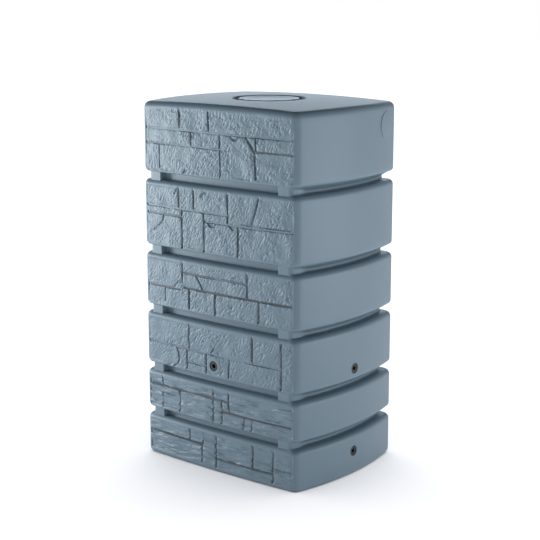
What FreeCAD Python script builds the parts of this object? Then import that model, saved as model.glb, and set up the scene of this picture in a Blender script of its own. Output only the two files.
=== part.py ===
import FreeCAD, Part
import math
import os

# Rain barrel: a free-standing blow-moulded tank of stacked bands, with a twist-off lid
# on top and screw plugs in five ports.
#
# Frame: +Z up, the origin in the middle of the footprint on the ground. The front, which
# carries the stone relief, faces -Y, and the right side faces +X. Lengths are millimetres.

Vector = FreeCAD.Vector

# ---------------------------------------------------------------- overall sizes
WIDTH = 715.0               # across the bulging left and right sides
DEPTH = 545.0               # across the bulging front and back
BAND_HEIGHTS = [139.0, 130.5, 175.5, 176.5, 218.5, 238.5]  # from the ground up
GROOVE_HEIGHT = 26.5        # the gap between one band and the next
WALL = 5.0                  # moulded wall

# ---------------------------------------------------------------- plan shape
FRONT_BULGE_RADIUS = 4850.0  # the front and back are shallow arcs
SIDE_BULGE_RADIUS = 963.0    # the sides bulge more
CORNER_RADIUS = 30.0
BASE_EDGE_RADIUS = 16.0      # the rounded edge all round the foot
TOP_EDGE_RADIUS = 22.0
TOP_DOME_RADIUS = 7370.0     # the top is a shallow dome, highest in the middle
BAND_LIP_RADIUS = 17.0       # the rounded upper lip of each band, above which a groove lies
BAND_LOWER_RADIUS = 6.0      # the tighter lower edge of each band, below which a groove lies

# ---------------------------------------------------------------- grooves and posts
SIDE_GROOVE_DEPTH = 37.0
BACK_GROOVE_DEPTH = 26.0
FRONT_GROOVE_DEPTH = 30.0    # the channel across the front, between the two posts
SIDE_ROOF_DROP = 15.5        # a groove's roof slopes down this far along the sides; front and back are flat
POST_RECESS = 8.0            # how far the posts' faces lie behind the front
POST_SIDE_DEPTH = 25.0       # and behind the side, where the post turns into the side groove
POST_SIDE_LENGTH = 30.0      # how far back a post runs along the side before it tapers away
POST_TAPER_LENGTH = 45.0
POST_INNER_EDGE = 246.0      # half the length of the front channel
CORE_CORNER_RADIUS = 14.0

# ---------------------------------------------------------------- base
FOOT_RING_WIDTH = 55.0
FOOT_RECESS = 6.0

# ---------------------------------------------------------------- lid, neck and the dish round them
DISH_DEPTH = 28.0
DISH_SLOPE = 9.0             # how much narrower the dish is at its floor
NECK_BORE_RADIUS = 84.0
NECK_WALL = 8.0
NECK_TOP_BELOW_RIM = 11.0    # from the barrel's top down to the neck's sealing face
LID_NECK_CLEARANCE = 2.0     # between the lid's skirt and the neck inside it
LID_SKIRT_WALL = 7.0
LID_SKIRT_GAP = 3.0          # between the skirt's lower edge and the dish floor
LID_FINGER_GAP = 21.0        # round the lid, between its skirt and the dish
LID_BELOW_TOP = 1.0
LID_PLATE = 3.5
LID_RIM_WIDTH = 23.0         # the raised rim round the sunk middle of the lid
LID_DISH_SLOPE = 5.0
LID_EDGE_RADIUS = 3.0
SEAL_THICKNESS = 2.5
SEAL_INSET = 1.0             # the seal stays this far inside the neck wall's faces
GRIP_COUNT = 10
GRIP_RADIUS = 16.0
GRIP_CUT = 4.0               # how deep each finger scallop goes into the lid's edge

# ---------------------------------------------------------------- ports
FRONT_PORT_X = -10.0         # the front port is a little left of the middle
PORT_ABOVE_GROOVE = 37.5     # the middle ports' axis above the second groove
PORT_LOW_Z = 80.0
BOSS_WALL = 8.0              # moulded round the insert's body
BOSS_FLOOR = 5.0             # moulded behind the insert's end
FACE_MARGIN = 1.0            # the flat round each port is this much wider than its boss
FACE_SINK = 1.0
INSERT_FACE_WALL = 1.1       # the insert's rim round the plug's head
INSERT_BODY_STEP = 3.0       # how much wider its body is behind the rim
INSERT_COLLAR_DEPTH = 8.0    # from the insert's face to its wider body
INSERT_LENGTH = 24.0
INSERT_LOCK_WIDTH = 4.0      # the groove that keys the insert into the moulding
INSERT_LOCK_DEPTH = 2.5
THREAD_RADIUS = 13.2         # a 3/4 inch pipe thread
THREAD_CLEARANCE = 0.3
PLUG_HEAD_STEP = 2.3         # how much wider the plug's head is than its thread
PLUG_HEAD_THICKNESS = 5.0
PLUG_HEAD_SINK = 1.0
PLUG_SHANK_LENGTH = 15.0
PLUG_SOCKET_FLATS = 14.0
PLUG_SOCKET_DEPTH = 10.0
HEAD_CLEARANCE = 0.4
GASKET_THICKNESS = 1.5
GASKET_INSET = 0.3           # the gasket is this much smaller than the plug's head

# ---------------------------------------------------------------- round pads for a downpipe diverter
PAD_RADIUS = 46.0
PAD_BACK_OFFSET = 185.0      # towards the back from the middle of the side
PAD_BELOW_TOP = 81.0
PAD_PROUD = 1.0

# ---------------------------------------------------------------- worked out from those
UP = Vector(0, 0, 1)
PAST = 1.0                   # how far a cutting tool runs past the face that it cuts
LEVEL_TOLERANCE = 1e-3
GROOVE_COUNT = len(BAND_HEIGHTS) - 1
HEIGHT = sum(BAND_HEIGHTS) + GROOVE_COUNT * GROOVE_HEIGHT  # at the crown of the dome
LEDGES = [sum(BAND_HEIGHTS[: i + 1]) + i * GROOVE_HEIGHT for i in range(GROOVE_COUNT)]
ROOFS = [ledge + GROOVE_HEIGHT for ledge in LEDGES]

DISH_FLOOR_Z = HEIGHT - DISH_DEPTH
NECK_TOP_Z = HEIGHT - NECK_TOP_BELOW_RIM
NECK_RADIUS = NECK_BORE_RADIUS + NECK_WALL
LID_SKIRT_RADIUS = NECK_RADIUS + LID_NECK_CLEARANCE
LID_RADIUS = LID_SKIRT_RADIUS + LID_SKIRT_WALL
DISH_RADIUS = LID_RADIUS + LID_FINGER_GAP

PLUG_HEAD_RADIUS = THREAD_RADIUS + PLUG_HEAD_STEP
HEAD_BORE_RADIUS = PLUG_HEAD_RADIUS + HEAD_CLEARANCE
INSERT_FACE_RADIUS = HEAD_BORE_RADIUS + INSERT_FACE_WALL
INSERT_BODY_RADIUS = INSERT_FACE_RADIUS + INSERT_BODY_STEP
INSERT_END = FACE_SINK + INSERT_LENGTH
BOSS_RADIUS = INSERT_BODY_RADIUS + BOSS_WALL
BOSS_DEPTH = INSERT_END + BOSS_FLOOR
FACE_RADIUS = BOSS_RADIUS + FACE_MARGIN
PORT_MID_Z = ROOFS[1] + PORT_ABOVE_GROOVE
PAD_Z = HEIGHT - PAD_BELOW_TOP


def unit(v):
    return v * (1.0 / v.Length)


def circle_meet(c1, r1, c2, r2, towards):
    """The meeting point of two circles in the plan that lies nearer to a given point."""
    line = c2 - c1
    gap = line.Length
    along = (r1 * r1 - r2 * r2 + gap * gap) / (2.0 * gap)
    across = math.sqrt(r1 * r1 - along * along)
    foot = c1 + unit(line) * along
    normal = Vector(-line.y, line.x, 0) * (across / gap)
    return min((foot + normal, foot - normal), key=lambda p: (p - towards).Length)


def plan(front, back, side, corner):
    """The barrel's outline, with each bulging wall moved in by its own inset."""
    walls = [
        (Vector(0, FRONT_BULGE_RADIUS - DEPTH / 2, 0), FRONT_BULGE_RADIUS - front, Vector(0, -1, 0)),
        (Vector(WIDTH / 2 - SIDE_BULGE_RADIUS, 0, 0), SIDE_BULGE_RADIUS - side, Vector(1, 0, 0)),
        (Vector(0, DEPTH / 2 - FRONT_BULGE_RADIUS, 0), FRONT_BULGE_RADIUS - back, Vector(0, 1, 0)),
        (Vector(SIDE_BULGE_RADIUS - WIDTH / 2, 0, 0), SIDE_BULGE_RADIUS - side, Vector(-1, 0, 0)),
    ]
    corners = []
    for i, (c1, r1, out1) in enumerate(walls):
        c2, r2, out2 = walls[(i + 1) % 4]
        near = Vector((out1.x + out2.x) * WIDTH / 2, (out1.y + out2.y) * DEPTH / 2, 0)
        middle = circle_meet(c1, r1 - corner, c2, r2 - corner, near)
        start = c1 + unit(middle - c1) * r1
        end = c2 + unit(middle - c2) * r2
        turn = middle + unit(unit(start - middle) + unit(end - middle)) * corner
        corners.append((start, turn, end))
    edges = []
    for i, (start, turn, end) in enumerate(corners):
        centre, radius, outwards = walls[i]
        before = corners[i - 1][2]
        edges.append(Part.Arc(before, centre + outwards * radius, start).toShape())
        edges.append(Part.Arc(start, turn, end).toShape())
    return Part.Face(Part.Wire(edges))


def prism(face, low, high):
    solid = face.extrude(UP * (high - low))
    solid.translate(UP * low)
    return solid


def level_edges(solid, z):
    """The edges of a solid that lie in one horizontal plane."""
    found = []
    for edge in solid.Edges:
        box = edge.BoundBox
        if abs(box.ZMin - z) < LEVEL_TOLERANCE and abs(box.ZMax - z) < LEVEL_TOLERANCE:
            found.append(edge)
    return found


def band(low, high, inset, low_radius):
    """One band below a groove, or its hollow when inset by the wall."""
    outline = plan(inset, inset, inset, CORNER_RADIUS - inset)
    solid = prism(outline, low + inset, high - inset)
    solid = solid.makeFillet(low_radius - inset, level_edges(solid, low + inset))
    return solid.makeFillet(BAND_LIP_RADIUS - inset, level_edges(solid, high - inset))


def top_band(low, inset):
    """The highest band, under the domed top."""
    outline = plan(inset, inset, inset, CORNER_RADIUS - inset)
    poles = Vector(-1, 0, 0)  # level, with the sphere's seam at its bottom and so not in the top
    ball = Part.makeSphere(TOP_DOME_RADIUS - inset, UP * (HEIGHT - TOP_DOME_RADIUS), poles)
    solid = prism(outline, low + inset, HEIGHT + PAST).common(ball)
    solid = solid.makeFillet(BAND_LOWER_RADIUS - inset, level_edges(solid, low + inset))
    top = max(solid.Faces, key=lambda face: face.CenterOfMass.z)
    return solid.makeFillet(TOP_EDGE_RADIUS - inset, top.Edges)


def bands(inset):
    """All the bands from the ground up, each between two grooves."""
    lows = [0.0] + ROOFS
    solids = [band(lows[0], LEDGES[0], inset, BASE_EDGE_RADIUS)]
    for low, high in zip(lows[1:], LEDGES[1:]):
        solids.append(band(low, high, inset, BAND_LOWER_RADIUS))
    solids.append(top_band(lows[-1], inset))
    return solids


def core_outline(inset):
    return plan(
        FRONT_GROOVE_DEPTH + inset,
        BACK_GROOVE_DEPTH + inset,
        SIDE_GROOVE_DEPTH + inset,
        CORE_CORNER_RADIUS,
    )


CORE_LOW = LEDGES[0] - BAND_LIP_RADIUS
CORE_HIGH = ROOFS[-1] + BAND_LIP_RADIUS


def core(inset):
    """The column behind the grooves, or its hollow when inset by the wall."""
    return prism(core_outline(inset), CORE_LOW, CORE_HIGH)


def roofs(inset):
    """The wedges above each groove along the sides, from the band's lower edge down to the back wall."""
    front = FRONT_GROOVE_DEPTH + inset
    back = BACK_GROOVE_DEPTH + inset
    found = []
    for roof in ROOFS:
        upper = plan(front, back, BAND_LOWER_RADIUS + inset, CORE_CORNER_RADIUS).OuterWire
        upper.translate(UP * (roof + inset))
        lower = core_outline(inset).OuterWire
        lower.translate(UP * (roof + inset - SIDE_ROOF_DROP))
        found.append(Part.makeLoft([upper, lower], True, True))
    return found


def posts():
    """The two front posts that bridge every groove beside the front channel."""
    outline = plan(POST_RECESS, BACK_GROOVE_DEPTH, POST_SIDE_DEPTH, CORE_CORNER_RADIUS)
    whole = prism(outline, CORE_LOW, CORE_HIGH)
    front = -DEPTH / 2
    back = front + FRONT_GROOVE_DEPTH + 2 * WALL
    inner = WIDTH / 2 - SIDE_GROOVE_DEPTH - WALL
    found = []
    for sign in (-1, 1):
        keep = Part.makePolygon([
            Vector(sign * POST_INNER_EDGE, front, CORE_LOW),
            Vector(sign * WIDTH / 2, front, CORE_LOW),
            Vector(sign * WIDTH / 2, front + POST_SIDE_LENGTH, CORE_LOW),
            Vector(sign * inner, front + POST_SIDE_LENGTH + POST_TAPER_LENGTH, CORE_LOW),
            Vector(sign * POST_INNER_EDGE, back, CORE_LOW),
            Vector(sign * POST_INNER_EDGE, front, CORE_LOW),
        ])
        found.append(whole.common(Part.Face(keep).extrude(UP * (CORE_HIGH - CORE_LOW))))
    return found


def ring(inner, outer, low, high):
    return Part.makeCylinder(outer, high - low, UP * low).cut(
        Part.makeCylinder(inner, high - low + 2 * PAST, UP * (low - PAST))
    )


def dish(grow, top):
    """The space of the sunk dish round the lid, grown by the wall for the moulding below it."""
    return Part.makeCone(
        DISH_RADIUS - DISH_SLOPE + grow,
        DISH_RADIUS + grow + DISH_SLOPE / DISH_DEPTH * (top - HEIGHT + grow),
        top - DISH_FLOOR_Z + grow,
        UP * (DISH_FLOOR_Z - grow),
    )


# ---------------------------------------------------------------- ports
# A port's own frame: its origin on the barrel's wall, and depth counted inwards along its axis.
PORTS = {
    "front_mid": (Vector(FRONT_PORT_X, -DEPTH / 2, PORT_MID_Z), Vector(0, -1, 0)),
    "right_mid": (Vector(WIDTH / 2, 0, PORT_MID_Z), Vector(1, 0, 0)),
    "right_low": (Vector(WIDTH / 2, 0, PORT_LOW_Z), Vector(1, 0, 0)),
    "left_mid": (Vector(-WIDTH / 2, 0, PORT_MID_Z), Vector(-1, 0, 0)),
    "left_low": (Vector(-WIDTH / 2, 0, PORT_LOW_Z), Vector(-1, 0, 0)),
}
HEAD_TOP = FACE_SINK + PLUG_HEAD_SINK
HEAD_SEAT = HEAD_TOP + PLUG_HEAD_THICKNESS
GASKET_SEAT = HEAD_SEAT + GASKET_THICKNESS


def port_disc(port, radius, start, end):
    """A disc on a port's axis, between two depths."""
    origin, out = port
    return Part.makeCylinder(radius, end - start, origin - out * end, out)


def port_ring(port, inner, outer, start, end):
    return port_disc(port, outer, start, end).cut(port_disc(port, inner, start - PAST, end + PAST))


def insert_envelope(port):
    """What the threaded insert fills in the moulding, before its own bore."""
    collar_end = FACE_SINK + INSERT_COLLAR_DEPTH
    body = port_disc(port, INSERT_FACE_RADIUS, FACE_SINK, collar_end)
    body = body.fuse(port_disc(port, INSERT_BODY_RADIUS, collar_end, INSERT_END))
    lock = (collar_end + INSERT_END - INSERT_LOCK_WIDTH) / 2
    groove = port_ring(
        port,
        INSERT_BODY_RADIUS - INSERT_LOCK_DEPTH,
        INSERT_BODY_RADIUS + PAST,
        lock,
        lock + INSERT_LOCK_WIDTH,
    )
    return body.cut(groove)


def port_bore(port, end):
    """The counterbore for the plug's head, and the threaded bore down to a depth."""
    head = port_disc(port, HEAD_BORE_RADIUS, -PAST, GASKET_SEAT)
    return head.fuse(port_disc(port, THREAD_RADIUS + THREAD_CLEARANCE, GASKET_SEAT - PAST, end))


def make_insert(port):
    return insert_envelope(port).cut(port_bore(port, INSERT_END + PAST)).removeSplitter()


def make_plug(port):
    """A screw plug: a round head with a hexagon socket, and a shank in the insert's thread."""
    origin, out = port
    head = port_disc(port, PLUG_HEAD_RADIUS, HEAD_TOP, HEAD_SEAT)
    shank = port_disc(port, THREAD_RADIUS, HEAD_SEAT, HEAD_SEAT + PLUG_SHANK_LENGTH)
    sideways = unit(out.cross(UP))
    reach = PLUG_SOCKET_FLATS / math.sqrt(3)
    top = origin - out * (HEAD_TOP - PAST)
    points = []
    for i in range(7):
        angle = math.radians(60 * i)
        points.append(top + sideways * (reach * math.cos(angle)) + UP * (reach * math.sin(angle)))
    socket = Part.Face(Part.makePolygon(points)).extrude(out * -(PLUG_SOCKET_DEPTH + PAST))
    return head.fuse(shank).cut(socket).removeSplitter()


def make_gasket(port):
    inner = THREAD_RADIUS + GASKET_INSET
    return port_ring(port, inner, PLUG_HEAD_RADIUS - GASKET_INSET, HEAD_SEAT, GASKET_SEAT)


# ---------------------------------------------------------------- the moulded tank
def diverter_pad(sign):
    """A round flat raised on the curved side near the back, to drill for a downpipe diverter."""
    centre = Vector(WIDTH / 2 - SIDE_BULGE_RADIUS, 0, 0)
    angle = math.asin(PAD_BACK_OFFSET / SIDE_BULGE_RADIUS)
    out = Vector(math.cos(angle), math.sin(angle), 0)
    face = centre + out * (SIDE_BULGE_RADIUS + PAD_PROUD) + UP * PAD_Z
    pad = Part.makeCylinder(PAD_RADIUS, PAD_PROUD + WALL, face - out * (PAD_PROUD + WALL), out)
    return pad if sign > 0 else pad.mirror(Vector(0, 0, 0), Vector(1, 0, 0))


def foot_recess(inset, high):
    """The shallow recess under the base, inside the ring that the barrel stands on."""
    return prism(plan(inset, inset, inset, CORNER_RADIUS), -PAST, high)


def make_tank():
    """The one-piece moulded tank, with its hollow, neck, port bosses and pads."""
    outside = bands(0.0)
    outer = outside[0].fuse(outside[1:] + [core(0.0)] + roofs(0.0) + posts())
    hollows = bands(WALL)
    hollow = hollows[0].fuse(hollows[1:] + [core(WALL)] + roofs(WALL))
    hollow = hollow.cut(dish(WALL, HEIGHT))
    tank = outer.fuse([diverter_pad(-1), diverter_pad(1)])
    for port in PORTS.values():
        hollow = hollow.cut(port_disc(port, BOSS_RADIUS, -PAST, BOSS_DEPTH))
    hollow = hollow.cut(foot_recess(FOOT_RING_WIDTH - WALL, FOOT_RECESS + WALL))
    tank = tank.cut([hollow, foot_recess(FOOT_RING_WIDTH, FOOT_RECESS), dish(0.0, HEIGHT + PAST)])
    tank = tank.fuse(ring(NECK_BORE_RADIUS, NECK_RADIUS, DISH_FLOOR_Z - WALL, NECK_TOP_Z))
    below_dish = DISH_FLOOR_Z - 2 * WALL
    tank = tank.cut(Part.makeCylinder(NECK_BORE_RADIUS, HEIGHT - below_dish, UP * below_dish))
    for port in PORTS.values():
        face = port_disc(port, FACE_RADIUS, -PAST, FACE_SINK)
        tank = tank.cut([face, insert_envelope(port), port_bore(port, BOSS_DEPTH + PAST)])
    return tank.removeSplitter()


# ---------------------------------------------------------------- lid and seal
LID_TOP_Z = HEIGHT - LID_BELOW_TOP
LID_SEAT_Z = NECK_TOP_Z + SEAL_THICKNESS
LID_SKIRT_Z = DISH_FLOOR_Z + LID_SKIRT_GAP


def make_lid():
    """The twist-off lid: a sunk middle, a raised rim and a skirt with finger scallops."""
    rim_radius = LID_RADIUS - LID_RIM_WIDTH
    middle_z = LID_SEAT_Z + LID_PLATE
    profile = [
        (0, LID_SEAT_Z),
        (LID_SKIRT_RADIUS, LID_SEAT_Z),
        (LID_SKIRT_RADIUS, LID_SKIRT_Z),
        (LID_RADIUS, LID_SKIRT_Z),
        (LID_RADIUS, LID_TOP_Z),
        (rim_radius, LID_TOP_Z),
        (rim_radius - LID_DISH_SLOPE, middle_z),
        (0, middle_z),
        (0, LID_SEAT_Z),
    ]
    wire = Part.makePolygon([Vector(r, 0, z) for r, z in profile])
    lid = Part.Face(wire).revolve(Vector(0, 0, 0), UP, 360)
    rim = [max(level_edges(lid, LID_TOP_Z), key=lambda edge: edge.BoundBox.XMax)]
    lid = lid.makeFillet(LID_EDGE_RADIUS, rim)
    scallop_at = LID_RADIUS - GRIP_CUT + GRIP_RADIUS
    for i in range(GRIP_COUNT):
        angle = 2 * math.pi * i / GRIP_COUNT
        at = Vector(scallop_at * math.cos(angle), scallop_at * math.sin(angle), LID_SKIRT_Z - PAST)
        lid = lid.cut(Part.makeCylinder(GRIP_RADIUS, LID_TOP_Z - LID_SKIRT_Z + 2 * PAST, at))
    return lid


def make_lid_seal():
    return ring(NECK_BORE_RADIUS + SEAL_INSET, NECK_RADIUS - SEAL_INSET, NECK_TOP_Z, LID_SEAT_Z)


def main():
    os.makedirs("parts", exist_ok=True)
    nodes = {
        "tank_shell": make_tank(),
        "lid": make_lid(),
        "lid_seal": make_lid_seal(),
    }
    for name, port in PORTS.items():
        nodes["insert_" + name] = make_insert(port)
        nodes["plug_" + name] = make_plug(port)
        nodes["gasket_" + name] = make_gasket(port)
    for name, shape in nodes.items():
        solids = shape.Solids
        print(name, "solids", len(solids), "valid", shape.isValid(), "litres", round(shape.Volume / 1e6, 4))
        solids[0].exportStep("parts/" + name + ".step")


main()
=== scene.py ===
"""Looks for the rain barrel: the moulded tank with its stone relief, the lid, the ports and the studio.

Everything is in metres in the frame of the CAD model. The front faces -Y and the right side +X.
"""
import math

import bmesh
import bpy
import numpy as np
from mathutils import Matrix, Vector


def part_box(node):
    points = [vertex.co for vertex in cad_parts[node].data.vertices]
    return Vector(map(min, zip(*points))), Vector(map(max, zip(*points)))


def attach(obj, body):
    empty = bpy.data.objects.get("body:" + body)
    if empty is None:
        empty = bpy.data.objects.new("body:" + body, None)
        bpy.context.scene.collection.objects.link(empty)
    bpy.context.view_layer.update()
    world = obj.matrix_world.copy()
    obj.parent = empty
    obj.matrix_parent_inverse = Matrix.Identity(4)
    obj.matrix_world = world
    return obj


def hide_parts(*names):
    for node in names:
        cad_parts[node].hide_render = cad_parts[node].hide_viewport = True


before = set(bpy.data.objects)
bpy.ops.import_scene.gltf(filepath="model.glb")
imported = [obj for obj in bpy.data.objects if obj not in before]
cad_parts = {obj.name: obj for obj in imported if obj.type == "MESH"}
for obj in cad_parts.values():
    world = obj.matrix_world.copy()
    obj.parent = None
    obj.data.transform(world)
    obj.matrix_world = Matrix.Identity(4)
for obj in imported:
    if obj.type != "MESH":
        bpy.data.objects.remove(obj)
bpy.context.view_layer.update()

MM = 0.001
TANK_LOW, TANK_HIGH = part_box("tank_shell")
WIDTH = TANK_HIGH.x - TANK_LOW.x
DEPTH = TANK_HIGH.y - TANK_LOW.y
HEIGHT = 1211 * MM          # at the crown of the domed top, which the dish cuts away

# The tank's own sizes, as in the CAD model except where a comment says otherwise.
WALL = 5 * MM
FRONT_BULGE_RADIUS = 4850 * MM
SIDE_BULGE_RADIUS = 963 * MM
CORNER_RADIUS = 30 * MM
BASE_EDGE_RADIUS = 16 * MM
TOP_EDGE_RADIUS = 22 * MM
TOP_DOME_RADIUS = 7370 * MM
LIP_RADIUS = 17 * MM
LOWER_RADIUS = 6 * MM
SIDE_LOWER_RADIUS = 12 * MM   # rounder along the sides than the CAD model's, which is 6 all round
LEDGES = [z * MM for z in (139, 296, 498, 701, 946)]
GROOVE_HEIGHT = 26.5 * MM
ROOFS = [ledge + GROOVE_HEIGHT for ledge in LEDGES]
SIDE_GROOVE_DEPTH = 37 * MM
BACK_GROOVE_DEPTH = 26 * MM
FRONT_GROOVE_DEPTH = 30 * MM
SIDE_ROOF_DROP = 15.5 * MM    # along the sides only; in front and behind the roof is flat
POST_RECESS = 8 * MM
POST_SIDE_DEPTH = 25 * MM
POST_SIDE_LENGTH = 57 * MM   # how far back from the front a post runs before it tapers into the groove
POST_TAPER_LENGTH = 13 * MM
POST_INNER_EDGE = 246 * MM
CORE_CORNER_RADIUS = 14 * MM
FOOT_RING_WIDTH = 55 * MM
FOOT_RECESS = 6 * MM
DISH_RADIUS = 122 * MM
DISH_DEPTH = 28 * MM
DISH_SLOPE = 9 * MM
NECK_BORE_RADIUS = 84 * MM
NECK_RADIUS = 92 * MM
NECK_TOP = HEIGHT - 11 * MM
PAD_RADIUS = 46 * MM
PAD_BACK_OFFSET = 185 * MM
PAD_HEIGHT = HEIGHT - 81 * MM
PORTS = ("front_mid", "right_mid", "right_low", "left_mid", "left_low")

# ---------------------------------------------------------------- small helpers


def smooth_step(low, high, value):
    t = np.clip((value - low) / (high - low), 0.0, 1.0)
    return t * t * (3.0 - 2.0 * t)


def noise(x, y, seed):
    """Gradient noise in the plane, about -0.7 to 0.7, one wave per unit."""
    cell_x, cell_y = np.floor(x), np.floor(y)
    fx, fy = x - cell_x, y - cell_y

    def corner(dx, dy):
        ix = (cell_x + dx).astype(np.int64)
        iy = (cell_y + dy).astype(np.int64)
        h = (ix * 374761393 + iy * 668265263 + seed * 2147483647) & 0xFFFFFFFF
        h = ((h ^ (h >> 13)) * 1274126177) & 0xFFFFFFFF
        angle = ((h ^ (h >> 16)) & 0xFFFF) / 65536.0 * 2.0 * math.pi
        return np.cos(angle) * (fx - dx) + np.sin(angle) * (fy - dy)

    sx = fx * fx * fx * (fx * (fx * 6 - 15) + 10)
    sy = fy * fy * fy * (fy * (fy * 6 - 15) + 10)
    low = corner(0, 0) * (1 - sx) + corner(1, 0) * sx
    high = corner(0, 1) * (1 - sx) + corner(1, 1) * sx
    return low * (1 - sy) + high * sy


def make_object(name, vertices, faces):
    mesh = bpy.data.meshes.new(name)
    mesh.from_pydata([tuple(v) for v in vertices], [], faces)
    mesh.validate()
    piece = bpy.data.objects.new(name, mesh)
    bpy.context.scene.collection.objects.link(piece)
    return piece


def shade(piece, smooth_angle):
    """Smooth shading that keeps the edges sharper than an angle, in degrees."""
    mesh = piece.data
    mesh.shade_smooth()
    mesh.set_sharp_from_angle(angle=math.radians(smooth_angle))


def revolved(profile, steps=96):
    """Vertices and faces of a closed solid of revolution about Z, from a profile of radius and height."""
    nothing = 1e-9
    rings = [(r, z) for r, z in profile if r > nothing]
    angles = np.arange(steps) * 2 * math.pi / steps
    vertices = []
    for r, z in rings:
        vertices += [(r * math.cos(a), r * math.sin(a), z) for a in angles]
    faces = []
    for j in range(len(rings) - 1):
        for i in range(steps):
            k = (i + 1) % steps
            faces.append((j * steps + i, j * steps + k, (j + 1) * steps + k, (j + 1) * steps + i))
    last = (len(rings) - 1) * steps
    if profile[0][0] < nothing:
        faces.append(tuple(reversed(range(steps))))
        faces.append(tuple(last + i for i in range(steps)))
    else:
        for i in range(steps):
            k = (i + 1) % steps
            faces.append((last + i, last + k, k, i))
    return vertices, faces


# ---------------------------------------------------------------- the outline in plan


def circle_meet(c1, r1, c2, r2, towards):
    line = c2 - c1
    gap = np.hypot(*line)
    along = (r1 * r1 - r2 * r2 + gap * gap) / (2 * gap)
    across = math.sqrt(r1 * r1 - along * along)
    foot = c1 + line / gap * along
    normal = np.array([-line[1], line[0]]) / gap * across
    return min((foot + normal, foot - normal), key=lambda p: np.hypot(*(p - towards)))


def outline_parts(front, back, side, corner):
    """The outline's eight arcs: for each its centre, radius, first and last angle."""
    walls = [
        (np.array([0, FRONT_BULGE_RADIUS - DEPTH / 2]), FRONT_BULGE_RADIUS - front, -90.0),
        (np.array([WIDTH / 2 - SIDE_BULGE_RADIUS, 0]), SIDE_BULGE_RADIUS - side, 0.0),
        (np.array([0, DEPTH / 2 - FRONT_BULGE_RADIUS]), FRONT_BULGE_RADIUS - back, 90.0),
        (np.array([SIDE_BULGE_RADIUS - WIDTH / 2, 0]), SIDE_BULGE_RADIUS - side, 180.0),
    ]
    quadrants = [(1, -1), (1, 1), (-1, 1), (-1, -1)]
    corners = []
    for i, (c1, r1, _) in enumerate(walls):
        c2, r2, _ = walls[(i + 1) % 4]
        near = np.array(quadrants[i]) * (WIDTH / 2, DEPTH / 2)
        middle = circle_meet(c1, r1 - corner, c2, r2 - corner, near)
        first = math.atan2(*(middle - c1)[::-1])
        last = math.atan2(*(middle - c2)[::-1])
        corners.append((middle, first, last))
    parts = []
    for i, (centre, radius, facing) in enumerate(walls):
        facing = math.radians(facing)
        start = corners[i - 1][2]
        end = corners[i][1]
        start = facing + math.remainder(start - facing, 2 * math.pi)
        end = facing + math.remainder(end - facing, 2 * math.pi)
        parts.append((centre, radius, start, end))
        middle, first, last = corners[i]
        first = end
        last = first + (last - first) % (2 * math.pi)
        parts.append((middle, corner, first, last))
    return parts


FRONT_STEP = 2.2 * MM
SIDE_STEP = 13 * MM
CORNER_STEPS = 14
FLANK_STEP = 0.9 * MM
FLANK_HALF = 6 * MM


def column_fractions():
    """Where the mesh's columns lie along each of the outline's eight arcs, from 0 up to but not at 1."""
    fractions = []
    for i, (centre, radius, start, end) in enumerate(outline_parts(0, 0, 0, CORNER_RADIUS)):
        length = radius * (end - start)
        if i == 0:
            half = length / 2
            stops = [-half]
            while stops[-1] < half - FLANK_STEP:
                near_flank = abs(abs(stops[-1]) - POST_INNER_EDGE) < FLANK_HALF
                stops.append(stops[-1] + (FLANK_STEP if near_flank else FRONT_STEP))
            fractions.append((np.array(stops) + half) / length)
        elif i % 2:
            fractions.append(np.arange(CORNER_STEPS) / CORNER_STEPS)
        else:
            count = round(length / SIDE_STEP)
            fractions.append(np.arange(count) / count)
    return fractions


FRACTIONS = column_fractions()
PART_OF = np.concatenate([np.full(len(f), i) for i, f in enumerate(FRACTIONS)])
COLUMNS = len(PART_OF)
ALONG = np.concatenate(FRACTIONS)
FINE = (PART_OF == 0) | (PART_OF == 1) & (ALONG < 0.4) | (PART_OF == 7) & (ALONG > 0.6)


def outline(front, back, side, corner, keep_front=None):
    """Points and outward normals of an outline at every column. keep_front holds the front columns at the
    places they have on the barrel's face, up to that distance from the middle."""
    points, normals = [], []
    for (centre, radius, start, end), fractions in zip(outline_parts(front, back, side, corner), FRACTIONS):
        angles = start + (end - start) * fractions
        if keep_front is not None and not points:
            outer = outline_parts(0, 0, 0, CORNER_RADIUS)[0]
            x = outer[1] * np.cos(outer[2] + (outer[3] - outer[2]) * fractions)
            x_end, own_end = outer[1] * math.cos(outer[3]), radius * math.cos(end)
            beyond = (np.abs(x) - keep_front) * (own_end - keep_front) / (x_end - keep_front)
            x = np.where(np.abs(x) < keep_front, x, np.sign(x) * (keep_front + beyond))
            angles = -np.arccos(x / radius)
        unit = np.stack([np.cos(angles), np.sin(angles)], 1)
        points.append(centre + radius * unit)
        normals.append(unit)
    return np.concatenate(points), np.concatenate(normals)


FACE, OUT = outline(0, 0, 0, CORNER_RADIUS)
KEEP = POST_INNER_EDGE + FLANK_HALF
CHANNEL, _ = outline(FRONT_GROOVE_DEPTH, BACK_GROOVE_DEPTH, SIDE_GROOVE_DEPTH, CORE_CORNER_RADIUS, KEEP)
POSTS, _ = outline(POST_RECESS, BACK_GROOVE_DEPTH, POST_SIDE_DEPTH, CORE_CORNER_RADIUS, KEEP)
FLANK_DRAFT = 2.5 * MM
across_share = smooth_step(-FLANK_DRAFT, FLANK_DRAFT, np.abs(FACE[:, 0]) - POST_INNER_EDGE)
from_front = FACE[:, 1] + DEPTH / 2
along_share = 1 - np.clip((from_front - POST_SIDE_LENGTH) / POST_TAPER_LENGTH, 0, 1)
POST_SHARE = (across_share * along_share)[:, None]
CORE = CHANNEL * (1 - POST_SHARE) + POSTS * POST_SHARE


def depth_of(core):
    """How far the core lies behind the face at each column."""
    return np.sum((FACE - core) * OUT, 1)


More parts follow.
